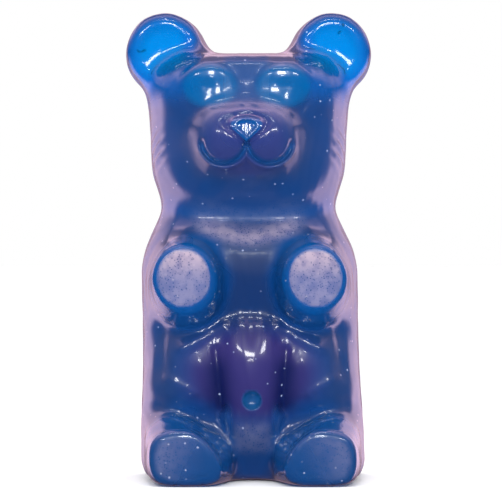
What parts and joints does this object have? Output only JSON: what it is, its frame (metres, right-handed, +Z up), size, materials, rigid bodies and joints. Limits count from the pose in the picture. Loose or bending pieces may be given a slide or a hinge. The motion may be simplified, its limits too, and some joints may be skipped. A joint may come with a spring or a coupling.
{
  "type": "giant gummy bear",
  "caption": "Giant gummy bear in blue fruit gel: a seated bear cast in one piece, with round ears, domed eyes, stub arms and flat soles, and a flat back. It stands upright.",
  "frame": {"origin": "middle of the box round the bear, at the level that it stands on", "axes": "+Z up from the seat to the ears, -Y the way the bear faces, +X to the bear's left"},
  "size_m": [0.1228, 0.093, 0.23],
  "materials": {
    "fruit_gel": "set gelatine gel in deep translucent blue, wet-looking and glossy, a little rough on the flat paw pads and soles"
  },
  "bodies": {
    "root": {"gummy_bear": "fruit_gel"}
  },
  "joints": []
}
